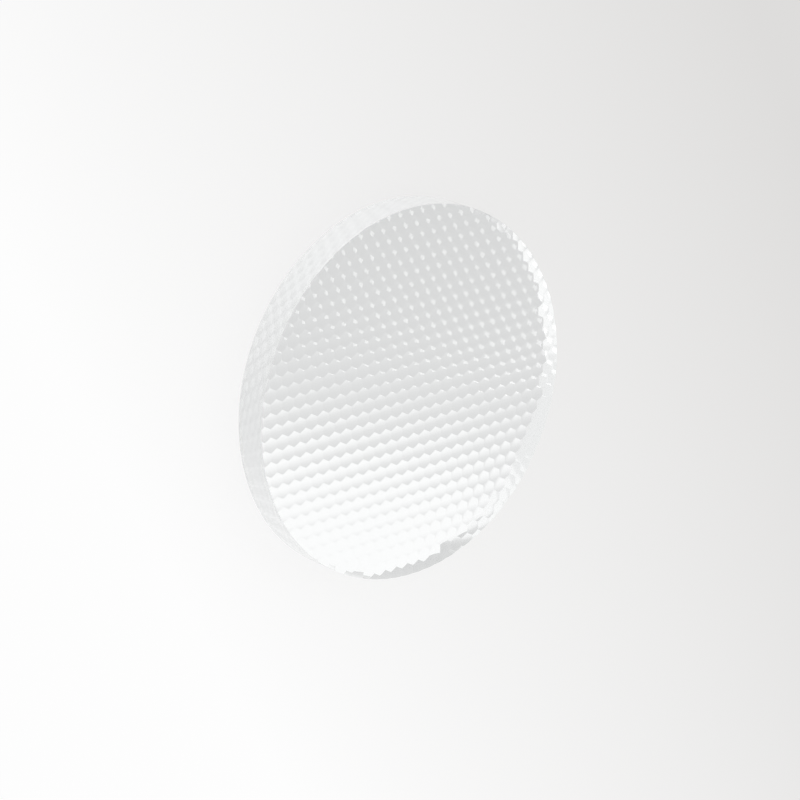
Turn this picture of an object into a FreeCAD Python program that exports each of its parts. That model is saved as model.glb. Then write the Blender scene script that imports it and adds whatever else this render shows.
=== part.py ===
import FreeCAD, Part
import math
import os

# A round light spreading lens, moulded in one piece from clear acrylic.
# Its lower face is flat. Its upper face is a honeycomb of small convex lenslets,
# which runs out to the rim and is cut off there by the plain cylindrical edge.
# The lens axis is +Z, and the origin is the centre of the flat face.

# Sizes, in millimetres
disc_diameter = 50.0
# From the flat face to the crowns of the lenslets
disc_thickness = 4.7
# From one lenslet's centre to the next, which is a cell's width across its flats
lenslet_pitch = 1.88
# Radius of the sphere that a lenslet's dome follows
lenslet_radius = 4.0
# Width of the level crown, as a share of the cell; six slopes fall from it to the cell's edges
crown_share = 0.5

disc_radius = disc_diameter / 2
# Distance between rows of lenslets, and from a cell's centre to its corners
row_spacing = lenslet_pitch * math.sqrt(3) / 2
corner_reach = lenslet_pitch / math.sqrt(3)


def dome_drop(distance):
    """How far the lenslet's sphere has fallen at a distance from the middle of its cell."""
    return lenslet_radius - math.sqrt(lenslet_radius ** 2 - distance ** 2)


def hexagon(reach, height):
    """Corners of a level hexagon around the axis, with flats facing +X and -X."""
    angles = [math.radians(60 * corner + 30) for corner in range(6)]
    return [FreeCAD.Vector(reach * math.cos(angle), reach * math.sin(angle), height) for angle in angles]


def flat_face(corners):
    """Flat face inside a closed outline of straight edges."""
    return Part.Face(Part.makePolygon(corners + corners[:1]))


def lenslet():
    """One lenslet's upper surface: a level crown and six slopes, with its corners on the sphere."""
    crown_reach = corner_reach * crown_share
    valley_height = disc_thickness - (dome_drop(corner_reach) - dome_drop(crown_reach))
    crown = hexagon(crown_reach, disc_thickness)
    valley = hexagon(corner_reach, valley_height)
    faces = [flat_face(crown)]
    for side in range(6):
        following = (side + 1) % 6
        faces.append(flat_face([valley[side], valley[following], crown[following], crown[side]]))
    return Part.makeShell(faces)


def cell_centres():
    """Centres of every cell that reaches inside the rim, in rows along X with one cell on the axis."""
    limit = disc_radius + corner_reach
    rows = math.ceil(limit / row_spacing)
    columns = math.ceil(limit / lenslet_pitch) + 1
    centres = []
    for row in range(-rows, rows + 1):
        for column in range(-columns, columns + 1):
            x = (column + row % 2 / 2) * lenslet_pitch
            y = row * row_spacing
            if math.hypot(x, y) < limit:
                centres.append(FreeCAD.Vector(x, y, 0))
    return centres


def honeycomb():
    """All lenslets as one sheet, a little wider than the disc."""
    single = lenslet()
    sheet = Part.makeCompound([single.translated(centre) for centre in cell_centres()])
    sheet.sewShape()
    return sheet


def spreading_lens():
    """Plain disc whose top is cut to the honeycomb."""
    blank = Part.makeCylinder(disc_radius, disc_thickness + lenslet_pitch)
    pieces, _ = blank.generalFuse([honeycomb()])
    return min(pieces.Solids, key=lambda piece: piece.CenterOfMass.z)


os.makedirs("parts", exist_ok=True)
spreading_lens().exportStep("parts/spreading_lens.step")
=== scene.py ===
import math

import bmesh
import bpy
from bpy.props import FloatProperty, FloatVectorProperty, IntProperty, PointerProperty
from bpy.types import Operator, Panel, PropertyGroup
from mathutils import Matrix, Vector


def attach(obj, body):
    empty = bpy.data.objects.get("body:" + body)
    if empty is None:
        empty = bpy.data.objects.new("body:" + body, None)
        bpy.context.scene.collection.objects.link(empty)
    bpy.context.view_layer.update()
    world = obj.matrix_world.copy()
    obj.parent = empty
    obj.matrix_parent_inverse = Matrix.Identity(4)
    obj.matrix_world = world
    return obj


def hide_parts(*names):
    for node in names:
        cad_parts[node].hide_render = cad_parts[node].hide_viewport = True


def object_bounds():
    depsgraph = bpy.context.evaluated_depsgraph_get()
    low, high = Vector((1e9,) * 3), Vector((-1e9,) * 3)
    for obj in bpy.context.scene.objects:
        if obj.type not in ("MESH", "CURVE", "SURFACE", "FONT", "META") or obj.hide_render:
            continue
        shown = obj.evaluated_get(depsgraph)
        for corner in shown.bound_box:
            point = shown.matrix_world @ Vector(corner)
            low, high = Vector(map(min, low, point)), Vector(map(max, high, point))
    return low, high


# A round light spreading lens of clear acrylic: flat below, a honeycomb of small
# spherical lenslets above. It lies on a plain pale floor, and the camera looks down on it.

bl_info = {
    "name": "Light Spreading Lens",
    "version": (1, 0, 0),
    "blender": (4, 5, 0),
    "location": "View3D > Sidebar > Lens",
    "description": "Builds a clear lens disc with a honeycomb of lenslets, and its stage",
    "category": "Add Mesh",
}

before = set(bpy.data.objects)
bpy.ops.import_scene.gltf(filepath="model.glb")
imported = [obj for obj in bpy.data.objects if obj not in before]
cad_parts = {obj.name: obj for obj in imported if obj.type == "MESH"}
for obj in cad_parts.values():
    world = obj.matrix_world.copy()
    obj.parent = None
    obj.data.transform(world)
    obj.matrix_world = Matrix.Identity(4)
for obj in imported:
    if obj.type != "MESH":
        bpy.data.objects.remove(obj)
CAD_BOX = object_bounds()

NODE = "spreading_lens"
PIECE = "spreading_lens_moulding"

MM = 0.001
DISC_RADIUS = (CAD_BOX[1].x - CAD_BOX[0].x) / 2
DISC_THICKNESS = CAD_BOX[1].z - CAD_BOX[0].z

# Depth, in from the rim, over which the faces' polish gives way to the wall's satin
SATIN_START = 0.04 * MM
SATIN_FULL = 0.02 * MM
# Edges that turn less than this stay smooth
CREASE = math.radians(11)

# The floor lies a little below the disc, and the sheets reach far past the picture
FLOOR_GAP = 0.05 * MM
SHEET_RADIUS = 3.0
# Share of the floor's tone that it shows by itself; the rest takes light and shadow
FLOOR_GLOW = 0.9
# Tones of the room take over from the backdrop's own ones between these distances, in disc radii
ROOM_START = 3.3
ROOM_FULL = 4.0

LAMP_PLACE = Vector((-38.0, 99.5, 86.4)) * MM
LAMP_AIM = Vector((-10.0, -5.0, 4.7)) * MM
LAMP_LEAN = Vector((-0.19, -0.61, 0.77))
LAMP_SIZE = (24 * MM, 57 * MM)
LAMP_POWER = 0.0111
# Where the middle of the flag's near edge stands, and the card's extent from there
FLAG_EDGE = Vector((-13.6, 28.5, 29.2)) * MM
FLAG_ALONG = Vector((0.0, -0.62, 0.78)) * 80 * MM
FLAG_ACROSS = Vector((120 * MM, 0.0, 0.0))

CAMERA_AIM = Vector((1.51, -1.90, 4.7)) * MM
SENSOR_WIDTH = 36.0
FOCAL_LENGTH = 168.31
CAMERA_CLIP = 0.01
# Light that enters by the wall is turned back many times before it leaves the disc
LIGHT_BOUNCES = 40


# Colour


def linear(hex_colour):
    """A written sRGB colour as the linear RGBA that a node works in."""
    channels = [int(hex_colour[i:i + 2], 16) / 255 for i in (1, 3, 5)]
    return (*[c / 12.92 if c <= 0.04045 else ((c + 0.055) / 1.055) ** 2.4 for c in channels], 1.0)


# Settings that a user would change


class LensSizes(PropertyGroup):
    """Sizes of the moulding. The outside ones come from the construction's box."""

    radius: FloatProperty(
        name="Radius",
        description="Radius of the disc's edge",
        default=DISC_RADIUS,
        min=0.001,
        unit="LENGTH",
    )
    thickness: FloatProperty(
        name="Thickness",
        description="From the flat face to the crowns of the lenslets",
        default=DISC_THICKNESS,
        min=0.0005,
        unit="LENGTH",
    )
    pitch: FloatProperty(
        name="Lenslet Pitch",
        description="From one lenslet's centre to the next, across a cell's flats",
        default=1.88 * MM,
        min=0.0002,
        unit="LENGTH",
    )
    dome_radius: FloatProperty(
        name="Dome Radius",
        description="Radius of the sphere that a lenslet's dome follows",
        default=4.0 * MM,
        min=0.0005,
        unit="LENGTH",
    )
    dome_steps: IntProperty(
        name="Dome Steps",
        description="Facets from a lenslet's centre to each of its edges",
        default=3,
        min=1,
        max=6,
    )
    rim_steps: IntProperty(
        name="Rim Steps",
        description="Straight cuts that trim the honeycomb to its round edge",
        default=240,
        min=24,
        max=720,
    )


class AcrylicFinish(PropertyGroup):
    """Look of the clear acrylic."""

    tint: FloatVectorProperty(
        name="Tint",
        description="Colour that light takes in passing through the disc",
        default=linear("#FCFDFD"),
        size=4,
        min=0.0,
        max=1.0,
        subtype="COLOR",
    )
    refractive_index: FloatProperty(
        name="Refractive Index",
        description="How strongly the acrylic bends light",
        default=1.49,
        min=1.0,
        max=2.0,
    )
    wall_roughness: FloatProperty(
        name="Wall Roughness",
        description="Faint satin of the round wall",
        default=0.12,
        min=0.0,
        max=1.0,
    )
    flow_scale: FloatProperty(
        name="Flow Line Spacing",
        description="Size of the faint waves that the melt leaves as it fills the mould",
        default=9.0 * MM,
        min=0.0005,
        unit="LENGTH",
    )
    flow_depth: FloatProperty(
        name="Flow Line Depth",
        description="Height of those waves",
        default=0.002 * MM,
        min=0.0,
        precision=6,
        unit="LENGTH",
    )


class StageSettings(PropertyGroup):
    """Floor, light and camera."""

    # The floor's tone fades from its bright side to its dim side: painted light falloff, with painted
    # shade on the dim side.
    floor_bright: FloatVectorProperty(
        name="Floor, Bright Side",
        description="Colour of the floor on its lit side",
        default=linear("#FFFFFF"),
        size=4,
        min=0.0,
        max=1.0,
        subtype="COLOR",
    )
    floor_dim: FloatVectorProperty(
        name="Floor, Dim Side",
        description="Colour of the floor on its far side",
        default=linear("#DFDEDD"),
        size=4,
        min=0.0,
        max=1.0,
        subtype="COLOR",
    )
    # The backdrop glows by itself; its bright, front and dim tones are painted light and shade that
    # the disc shows.
    sheet_bright: FloatVectorProperty(
        name="Backdrop, Bright Side",
        description="Lighter tone that the clear disc shows",
        default=linear("#FFFFFF"),
        size=4,
        min=0.0,
        max=1.0,
        subtype="COLOR",
    )
    sheet_middle: FloatVectorProperty(
        name="Backdrop, Front",
        description="Tone of the backdrop's near side, which the disc's far wall shows",
        default=linear("#F1F1F1"),
        size=4,
        min=0.0,
        max=1.0,
        subtype="COLOR",
    )
    sheet_dim: FloatVectorProperty(
        name="Backdrop, Dim Side",
        description="Darker tone that the clear disc shows",
        default=linear("#D6D6D6"),
        size=4,
        min=0.0,
        max=1.0,
        subtype="COLOR",
    )
    sheet_depth: FloatProperty(
        name="Backdrop Depth",
        description="How far behind the disc the backdrop that it shows lies",
        default=48.0 * MM,
        min=0.001,
        unit="LENGTH",
    )
    azimuth: FloatProperty(
        name="Camera Azimuth",
        description="Where the camera stands, turned from the front",
        default=math.radians(1.33),
        subtype="ANGLE",
    )
    elevation: FloatProperty(
        name="Camera Elevation",
        description="How far the camera looks down",
        default=math.radians(45.86),
        subtype="ANGLE",
    )
    roll: FloatProperty(
        name="Camera Roll",
        description="Turn of the camera about its own line of sight",
        default=math.radians(111.52),
        subtype="ANGLE",
    )
    distance: FloatProperty(
        name="Camera Distance",
        description="From the camera to the point that it looks at",
        default=480.35 * MM,
        min=0.01,
        unit="LENGTH",
    )


# The moulding


def dome_height(sizes, distance):
    """Height of a lenslet's dome at this distance from its axis."""
    drop = sizes.dome_radius - math.sqrt(sizes.dome_radius ** 2 - distance ** 2)
    return sizes.thickness - drop


def lenslet(sizes):
    """One hexagonal lenslet, its axis on Z and its flats facing along X."""
    cell = bmesh.new()
    bmesh.ops.create_circle(
        cell, cap_ends=True, cap_tris=True, segments=6, radius=sizes.pitch / math.sqrt(3)
    )
    bmesh.ops.subdivide_edges(
        cell, edges=cell.edges[:], cuts=sizes.dome_steps - 1, use_grid_fill=True
    )
    for vert in cell.verts:
        vert.co.z = dome_height(sizes, vert.co.xy.length)
    return cell


def cell_centres(sizes):
    """Centres of the cells that reach inside the rim, in rows along X with one on the axis."""
    row_spacing = sizes.pitch * math.sqrt(3) / 2
    reach = sizes.radius + sizes.pitch / math.sqrt(3)
    rows = math.ceil(reach / row_spacing)
    columns = math.ceil(reach / sizes.pitch) + 1
    centres = []
    for row in range(-rows, rows + 1):
        shift = row % 2 / 2
        for column in range(-columns, columns + 1):
            centre = Vector(((column + shift) * sizes.pitch, row * row_spacing, 0.0))
            if centre.length < reach:
                centres.append(centre)
    return centres


def trim_to_rim(cell, sizes):
    """Cuts away what stands outside the round rim, by planes that touch it."""
    step = 2 * math.pi / sizes.rim_steps
    angles = [math.atan2(v.co.y, v.co.x) for v in cell.verts if v.co.xy.length > sizes.radius]
    if not angles:
        return
    middle = angles[0]
    turns = [math.remainder(angle - middle, 2 * math.pi) for angle in angles]
    first = math.floor((middle + min(turns)) / step) - 1
    last = math.ceil((middle + max(turns)) / step) + 1
    for number in range(first, last + 1):
        outward = Vector((math.cos(number * step), math.sin(number * step), 0.0))
        bmesh.ops.bisect_plane(
            cell,
            geom=cell.verts[:] + cell.edges[:] + cell.faces[:],
            dist=sizes.pitch / 10000,
            plane_co=outward * sizes.radius,
            plane_no=outward,
            clear_outer=True,
        )


def honeycomb(sizes):
    """The whole lenslet face, trimmed to the rim."""
    one = lenslet(sizes)
    face = bmesh.new()
    carrier = bpy.data.meshes.new("lenslet")
    for centre in cell_centres(sizes):
        cell = one.copy()
        bmesh.ops.translate(cell, verts=cell.verts[:], vec=centre)
        trim_to_rim(cell, sizes)
        cell.to_mesh(carrier)
        face.from_mesh(carrier)
        cell.free()
    one.free()
    bpy.data.meshes.remove(carrier)
    bmesh.ops.remove_doubles(face, verts=face.verts[:], dist=sizes.pitch / 1000)
    return face


def close_below(body, sizes):
    """Draws the honeycomb's rim straight down as the plain wall, and fills the flat face."""
    rim = [edge for edge in body.edges if edge.is_boundary]
    for vert in {v for edge in rim for v in edge.verts}:
        vert.co.xy = vert.co.xy.normalized() * sizes.radius
    wall = bmesh.ops.extrude_edge_only(body, edges=rim)["geom"]
    for vert in [g for g in wall if isinstance(g, bmesh.types.BMVert)]:
        vert.co.z = 0.0
    foot = [g for g in wall if isinstance(g, bmesh.types.BMEdge) and g.is_boundary]
    bmesh.ops.contextual_create(body, geom=foot)
    bmesh.ops.recalc_face_normals(body, faces=body.faces[:])


def set_shading(body):
    """Smooth domes and wall, crisp valleys and edges."""
    for face in body.faces:
        face.smooth = True
    for edge in body.edges:
        edge.smooth = edge.calc_face_angle(0.0) < CREASE


def cell_centre_near(sizes, point):
    """Centre of the cell that a point of the honeycomb lies in."""
    row_spacing = sizes.pitch * math.sqrt(3) / 2
    lower = math.floor(point.y / row_spacing)
    centres = []
    for row in (lower, lower + 1):
        shift = row % 2 / 2
        column = round(point.x / sizes.pitch - shift)
        centres.append(Vector(((column + shift) * sizes.pitch, row * row_spacing)))
    return min(centres, key=lambda centre: (point.xy - centre).length)


def set_true_normals(lens, sizes):
    """Gives each corner of a face the normal of the sphere, wall or flat that the face stands for.

    Light then bends as in a true dome, though each lenslet has only a few dozen faces.
    """
    mesh = lens.data
    normals = []
    for face in mesh.polygons:
        corners = [mesh.vertices[index].co for index in face.vertices]
        if face.normal.z > 0.5:
            centre = cell_centre_near(sizes, face.center)
            for corner in corners:
                offset = corner.xy - centre
                rise = math.sqrt(sizes.dome_radius ** 2 - offset.length_squared)
                normals.append(Vector((offset.x, offset.y, rise)).normalized())
        elif face.normal.z < -0.5:
            normals.extend(Vector((0.0, 0.0, -1.0)) for _ in corners)
        else:
            normals.extend(Vector((corner.x, corner.y, 0.0)).normalized() for corner in corners)
    mesh.normals_split_custom_set(normals)


def add_object(name, body):
    """Turns a bmesh into an object of the scene, at the origin."""
    mesh = bpy.data.meshes.new(name)
    body.to_mesh(mesh)
    body.free()
    obj = bpy.data.objects.new(name, mesh)
    bpy.context.scene.collection.objects.link(obj)
    return obj


# Materials


def new_material(name):
    """An empty node material and its node tree."""
    material = bpy.data.materials.new(name)
    material.use_nodes = True
    material.node_tree.nodes.clear()
    return material, material.node_tree


def add_node(tree, kind, settings=None, **links):
    """Adds a node, sets its properties, and fills its sockets with values or other sockets.

    A socket is named with underscores for its spaces, or by number as in_0.
    """
    node = tree.nodes.new(kind)
    for key, value in (settings or {}).items():
        setattr(node, key, value)
    for key, value in links.items():
        numbered = key.startswith("in_")
        socket = node.inputs[int(key[3:]) if numbered else key.replace("_", " ")]
        if isinstance(value, bpy.types.NodeSocket):
            tree.links.new(value, socket)
        else:
            socket.default_value = value
    return node


def clear_acrylic(finish):
    """Injection moulded acrylic, glass clear, with both faces polished by the mould.

    Faint flow waves keep its reflections from being dead straight. The round wall is a little
    satin, which softens what is seen through it.
    """
    material, tree = new_material("acrylic_clear_moulded")
    place = add_node(tree, "ShaderNodeTexCoord")
    flow = add_node(
        tree, "ShaderNodeTexNoise", Vector=place.outputs["Object"],
        Scale=1 / finish.flow_scale, Detail=2.0, Roughness=0.5,
    )
    waves = add_node(
        tree, "ShaderNodeBump", Height=flow.outputs["Fac"], Distance=finish.flow_depth, Strength=1.0,
    )
    level = add_node(
        tree, "ShaderNodeVectorMath", {"operation": "MULTIPLY"},
        in_0=place.outputs["Object"], in_1=(1.0, 1.0, 0.0),
    )
    out = add_node(tree, "ShaderNodeVectorMath", {"operation": "LENGTH"}, in_0=level.outputs[0])
    satin = add_node(
        tree, "ShaderNodeMapRange", Value=out.outputs["Value"],
        From_Min=DISC_RADIUS - SATIN_START, From_Max=DISC_RADIUS - SATIN_FULL,
        To_Min=0.0, To_Max=finish.wall_roughness,
    )
    shader = add_node(
        tree, "ShaderNodeBsdfPrincipled",
        Base_Color=finish.tint, Roughness=satin.outputs["Result"], IOR=finish.refractive_index,
        Transmission_Weight=1.0, Normal=waves.outputs["Normal"],
    )
    add_node(tree, "ShaderNodeOutputMaterial", Surface=shader.outputs["BSDF"])
    return material


# Stage


def distance_along(tree, turn):
    """How far a point of a level sheet lies from the middle, along a line turned from +X."""
    place = add_node(tree, "ShaderNodeTexCoord")
    along = add_node(
        tree, "ShaderNodeVectorMath", {"operation": "DOT_PRODUCT"},
        in_0=place.outputs["Object"], in_1=(math.cos(turn), math.sin(turn), 0.0),
    )
    return along.outputs["Value"]


def tones_along(tree, distance, stops):
    """Colours that follow each other at the given distances."""
    start, end = stops[0][0], stops[-1][0]
    share = add_node(tree, "ShaderNodeMapRange", Value=distance, From_Min=start, From_Max=end)
    ramp = add_node(tree, "ShaderNodeValToRGB", Fac=share.outputs["Result"])
    points = ramp.color_ramp.elements
    points[0].color = stops[0][1]
    points[1].color = stops[-1][1]
    for place, colour in stops[1:-1]:
        points.new((place - start) / (end - start)).color = colour
    return ramp.outputs["Color"]


def mixed(first, second, share):
    """A colour between two others."""
    return tuple(a + (b - a) * share for a, b in zip(first, second))


def smooth_step(tree, value, start, end):
    """A share that rises softly from 0 to 1 between two values."""
    step = add_node(
        tree, "ShaderNodeMapRange", {"interpolation_type": "SMOOTHSTEP"},
        Value=value, From_Min=start, From_Max=end,
    )
    return step.outputs["Result"]


def mix_colours(tree, share, first, second):
    """One colour giving way to another as the share rises."""
    mix = add_node(
        tree, "ShaderNodeMix", {"data_type": "RGBA"}, in_0=share, in_6=first, in_7=second,
    )
    return mix.outputs[2]


def tones_around(tree, direction, dim, bright):
    """Tones of the room about the disc by direction: white at the left, grey in front and behind."""
    parts = add_node(tree, "ShaderNodeSeparateXYZ", Vector=direction)
    turn = add_node(
        tree, "ShaderNodeMath", {"operation": "ARCTAN2"},
        in_0=parts.outputs["Y"], in_1=parts.outputs["X"],
    )
    return tones_along(tree, turn.outputs[0], [
        (math.radians(degrees), mixed(dim, bright, share)) for degrees, share in (
            (-180, 1.0), (-120, 0.0), (-60, 0.0), (20, 0.6), (75, 0.8), (105, 0.2), (115, 0.2),
            (130, 0.9), (150, 1.1), (180, 1.0),
        )
    ])


def floor_material(settings):
    """Matt pale card that mostly glows with its own tone, which fades from white to grey across the
    picture: painted light falloff, with painted shade on the far side.

    Light that has passed through the disc goes on through the card to the backdrop below.
    """
    material, tree = new_material("card_pale_painted_falloff")
    dim, bright = settings.floor_dim[:], settings.floor_bright[:]
    # The fade from white to grey is painted light falloff: painted shade on the floor's far side.
    across = distance_along(tree, math.radians(-33.3))
    colour = tones_along(tree, across, [
        (-0.076, dim), (0.0, mixed(dim, bright, 0.66)), (0.04, bright),
    ])
    rays = add_node(tree, "ShaderNodeLightPath")
    seen = add_node(
        tree, "ShaderNodeMath", {"operation": "MAXIMUM"},
        in_0=rays.outputs["Is Camera Ray"], in_1=rays.outputs["Is Glossy Ray"],
    )
    share = add_node(
        tree, "ShaderNodeMath", {"operation": "MULTIPLY"}, in_0=seen.outputs[0],
        in_1=FLOOR_GLOW,
    )
    matt = add_node(tree, "ShaderNodeBsdfDiffuse", Color=colour)
    glow = add_node(tree, "ShaderNodeEmission", Color=colour, Strength=1.0)
    card = add_node(
        tree, "ShaderNodeMixShader", in_0=share.outputs[0], in_1=matt.outputs[0], in_2=glow.outputs[0],
    )
    clear = add_node(tree, "ShaderNodeBsdfTransparent")
    surface = add_node(
        tree, "ShaderNodeMixShader",
        in_0=rays.outputs["Is Transmission Ray"], in_1=card.outputs[0], in_2=clear.outputs[0],
    )
    add_node(tree, "ShaderNodeOutputMaterial", Surface=surface.outputs[0])
    return material


def sheet_material(settings):
    """Self-glowing card behind the disc, which no lamp lights: its tones are painted light and shade.

    The faces show the part behind, painted grey on one side and white on the other. The far wall shows
    the rest: a pale part in front, a band between the two and a painted white corner at the right.
    """
    material, tree = new_material("card_backdrop_painted_glow")
    dim, middle, bright = settings.sheet_dim[:], settings.sheet_middle[:], settings.sheet_bright[:]
    radius = DISC_RADIUS
    across = distance_along(tree, math.radians(15.6))
    behind = tones_along(tree, across, [
        (place * radius, mixed(dim, bright, share)) for place, share in (
            (-1.2, 0.0), (0.0, 0.13), (0.45, 0.25), (0.7, 0.4), (0.8, 0.55), (0.9, 0.7),
            (1.0, 0.84), (1.2, 1.02),
        )
    ])
    sideways = distance_along(tree, 0.0)
    front = tones_along(tree, sideways, [
        (-2.0 * radius, bright), (-0.75 * radius, bright),
        (-0.55 * radius, middle), (2.0 * radius, middle),
    ])
    between = tones_along(tree, sideways, [
        (-2.0 * radius, mixed(dim, bright, 0.22)), (-0.6 * radius, mixed(dim, bright, 0.25)),
        (0.2 * radius, mixed(dim, bright, 1.02)), (2.0 * radius, mixed(dim, bright, 1.02)),
    ])
    depth = distance_along(tree, math.radians(90.0))
    close = mix_colours(tree, smooth_step(tree, depth, -0.12 * radius, 0.0), front, between)
    corner = distance_along(tree, math.radians(45.0))
    close = mix_colours(tree, smooth_step(tree, corner, 0.6 * radius, 0.7 * radius), close, bright)
    close = mix_colours(tree, smooth_step(tree, depth, 0.14 * radius, 0.34 * radius), close, behind)
    place = add_node(tree, "ShaderNodeTexCoord")
    flat = add_node(
        tree, "ShaderNodeVectorMath", {"operation": "MULTIPLY"},
        in_0=place.outputs["Object"], in_1=(1.0, 1.0, 0.0),
    )
    reach = add_node(tree, "ShaderNodeVectorMath", {"operation": "LENGTH"}, in_0=flat.outputs[0])
    far = smooth_step(tree, reach.outputs["Value"], ROOM_START * radius, ROOM_FULL * radius)
    around = tones_around(tree, place.outputs["Object"], dim, bright)
    colour = mix_colours(tree, far, close, around)
    # The backdrop glows with these painted tones of light and shade; no lamp lights it.
    glow = add_node(tree, "ShaderNodeEmission", Color=colour, Strength=1.0)
    add_node(tree, "ShaderNodeOutputMaterial", Surface=glow.outputs[0])
    return material


def level_sheet(name, height, material):
    """A plain round sheet, lying level."""
    sheet = bmesh.new()
    bmesh.ops.create_circle(sheet, cap_ends=True, segments=96, radius=SHEET_RADIUS)
    bmesh.ops.translate(sheet, verts=sheet.verts[:], vec=(0.0, 0.0, height))
    obj = add_object(name, sheet)
    obj.data.materials.append(material)
    return obj


def add_world(settings):
    """A surround with the room's tones, which the polished surfaces mirror."""
    world = bpy.data.worlds.new("studio_surround")
    world.use_nodes = True
    tree = world.node_tree
    tree.nodes.clear()
    place = add_node(tree, "ShaderNodeTexCoord")
    around = tones_around(
        tree, place.outputs["Generated"], settings.sheet_dim[:], settings.sheet_bright[:]
    )
    glow = add_node(tree, "ShaderNodeBackground", Color=around, Strength=1.0)
    add_node(tree, "ShaderNodeOutputWorld", Surface=glow.outputs[0])
    bpy.context.scene.world = world


def add_softbox(place, aim, lean, size, power):
    """A small strip lamp near the disc, which the lenslets mirror as bright spots."""
    data = bpy.data.lights.new("softbox", "AREA")
    data.shape = "RECTANGLE"
    data.size, data.size_y = size
    data.energy = power
    lamp = bpy.data.objects.new("softbox", data)
    back = (place - aim).normalized()
    across = lean.cross(back).normalized()
    axes = Matrix((across, back.cross(across), back)).transposed()
    lamp.matrix_world = Matrix.Translation(place) @ axes.to_4x4()
    lamp.visible_transmission = False
    bpy.context.scene.collection.objects.link(lamp)


def add_flag(edge, along, across, tone):
    """A pale card that glows and hides the lamp from the disc's right half; its glow is a painted
    reflection of the room. Only mirrored light meets it.
    """
    card = bmesh.new()
    ends = (edge - along, edge - along + across, edge + along + across, edge + along)
    card.faces.new([card.verts.new(end) for end in ends])
    flag = add_object("lamp_flag", card)
    material, tree = new_material("card_flag_painted_glow")
    glow = add_node(tree, "ShaderNodeEmission", Color=tone, Strength=1.0)
    add_node(tree, "ShaderNodeOutputMaterial", Surface=glow.outputs[0])
    flag.data.materials.append(material)
    flag.visible_camera = False
    flag.visible_diffuse = False
    flag.visible_transmission = False
    flag.visible_shadow = False


def add_camera(settings, aim):
    """Camera at the photograph's viewing angle."""
    data = bpy.data.cameras.new("camera")
    data.sensor_width = SENSOR_WIDTH
    data.lens = FOCAL_LENGTH
    data.clip_start = CAMERA_CLIP
    camera = bpy.data.objects.new("camera", data)
    level = Vector((
        math.sin(settings.azimuth) * math.cos(settings.elevation),
        -math.cos(settings.azimuth) * math.cos(settings.elevation),
        math.sin(settings.elevation),
    ))
    turn = level.to_track_quat("Z", "Y").to_matrix() @ Matrix.Rotation(settings.roll, 3, "Z")
    camera.matrix_world = Matrix.Translation(aim + level * settings.distance) @ turn.to_4x4()
    bpy.context.scene.collection.objects.link(camera)
    bpy.context.scene.camera = camera


# Operators


class MESH_OT_spreading_lens(Operator):
    """Build the clear moulding with its honeycomb of lenslets"""

    bl_idname = "mesh.spreading_lens"
    bl_label = "Spreading Lens"
    bl_options = {"REGISTER", "UNDO"}

    def execute(self, context):
        sizes = context.scene.lens_sizes
        body = honeycomb(sizes)
        close_below(body, sizes)
        set_shading(body)
        lens = add_object(PIECE, body)
        set_true_normals(lens, sizes)
        lens.data.materials.append(clear_acrylic(context.scene.acrylic_finish))
        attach(lens, "root")
        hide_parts(NODE)
        return {"FINISHED"}


class SCENE_OT_lens_stage(Operator):
    """Lay the floor and its backdrop, and set the light and the camera"""

    bl_idname = "scene.lens_stage"
    bl_label = "Stage"
    bl_options = {"REGISTER", "UNDO"}

    def execute(self, context):
        settings = context.scene.lens_stage
        level_sheet("floor", -FLOOR_GAP, floor_material(settings))
        sheet = level_sheet("backdrop", -settings.sheet_depth, sheet_material(settings))
        sheet.visible_camera = False
        sheet.visible_diffuse = False
        sheet.visible_shadow = False
        add_world(settings)
        add_softbox(LAMP_PLACE, LAMP_AIM, LAMP_LEAN, LAMP_SIZE, LAMP_POWER)
        # The flag's glow is painted: a mid tone between the backdrop's dim and bright ones, which the
        # disc mirrors where the lamp is hidden.
        tone = mixed(settings.sheet_dim[:], settings.sheet_bright[:], 0.5)
        add_flag(FLAG_EDGE, FLAG_ALONG, FLAG_ACROSS, tone)
        add_camera(settings, CAMERA_AIM)
        return {"FINISHED"}


class VIEW3D_PT_spreading_lens(Panel):
    """Sidebar panel with the pieces and their settings"""

    bl_idname = "VIEW3D_PT_spreading_lens"
    bl_label = "Light Spreading Lens"
    bl_space_type = "VIEW_3D"
    bl_region_type = "UI"
    bl_category = "Lens"

    def draw(self, context):
        layout = self.layout
        scene = context.scene
        for operator, group in (
            (MESH_OT_spreading_lens, scene.lens_sizes),
            (MESH_OT_spreading_lens, scene.acrylic_finish),
            (SCENE_OT_lens_stage, scene.lens_stage),
        ):
            box = layout.box()
            box.operator(operator.bl_idname)
            for name in group.__annotations__:
                box.prop(group, name)


CLASSES = (
    LensSizes,
    AcrylicFinish,
    StageSettings,
    MESH_OT_spreading_lens,
    SCENE_OT_lens_stage,
    VIEW3D_PT_spreading_lens,
)


def register():
    for cls in CLASSES:
        bpy.utils.register_class(cls)
    bpy.types.Scene.lens_sizes = PointerProperty(type=LensSizes)
    bpy.types.Scene.acrylic_finish = PointerProperty(type=AcrylicFinish)
    bpy.types.Scene.lens_stage = PointerProperty(type=StageSettings)


def unregister():
    del bpy.types.Scene.lens_stage
    del bpy.types.Scene.acrylic_finish
    del bpy.types.Scene.lens_sizes
    for cls in reversed(CLASSES):
        bpy.utils.unregister_class(cls)


def main():
    register()
    scene = bpy.context.scene
    scene.view_settings.view_transform = "Standard"
    scene.cycles.max_bounces = LIGHT_BOUNCES
    scene.cycles.glossy_bounces = LIGHT_BOUNCES
    scene.cycles.transmission_bounces = LIGHT_BOUNCES
    bpy.ops.mesh.spreading_lens()
    bpy.ops.scene.lens_stage()


if __name__ == "__main__":
    main()
